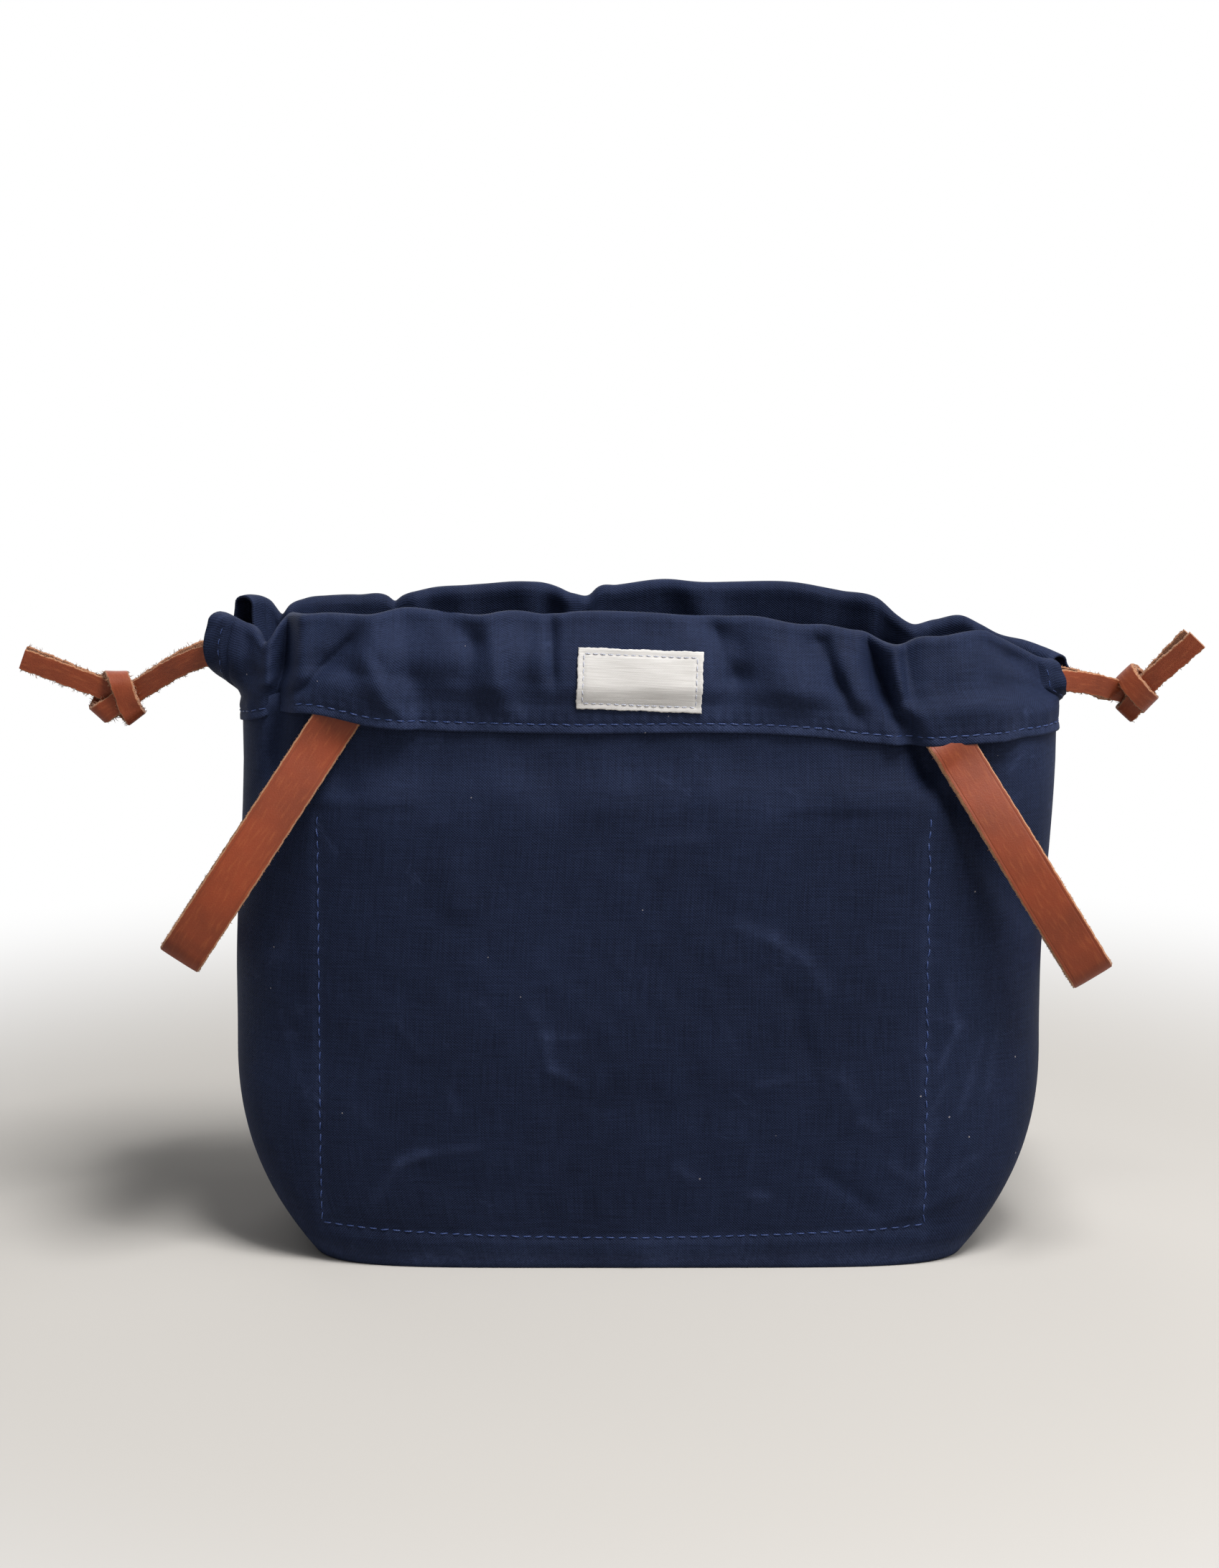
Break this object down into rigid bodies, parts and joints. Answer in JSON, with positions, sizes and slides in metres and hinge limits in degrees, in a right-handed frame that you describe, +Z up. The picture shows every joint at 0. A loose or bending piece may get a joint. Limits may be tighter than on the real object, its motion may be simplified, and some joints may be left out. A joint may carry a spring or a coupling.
{
  "type": "drawstring pouch",
  "caption": "Waxed-canvas drawstring pouch with a boxed base, gathered casings, knotted leather laces, strap handles and an inner pocket.",
  "frame": {"origin": "centre of the footprint on the surface the pouch stands on, at the base's lower face", "axes": "+X to the right along the width when seen from the front, +Y from the front to the back, +Z up; the labelled front faces -Y"},
  "size_m": [0.4427, 0.1306, 0.2452],
  "materials": {
    "canvas": "waxed cotton canvas, satin, softly creased",
    "canvas_inside": "waxed cotton canvas, satin",
    "strap_leather": "smooth vegetable-tanned grain with raw cut edges",
    "lace_leather": "smooth grain with raw cut edges and fuzzy flesh side",
    "label_weave": "fine woven off-white tape, blank"
  },
  "bodies": {
    "root": {"body_canvas": "canvas", "front_casing": "canvas", "back_casing": "canvas", "inner_pocket": "canvas_inside", "left_handle": "strap_leather", "right_handle": "strap_leather", "label": "label_weave", "front_lace": "lace_leather", "back_lace": "lace_leather", "left_knot": "lace_leather", "right_knot": "lace_leather"}
  },
  "joints": []
}
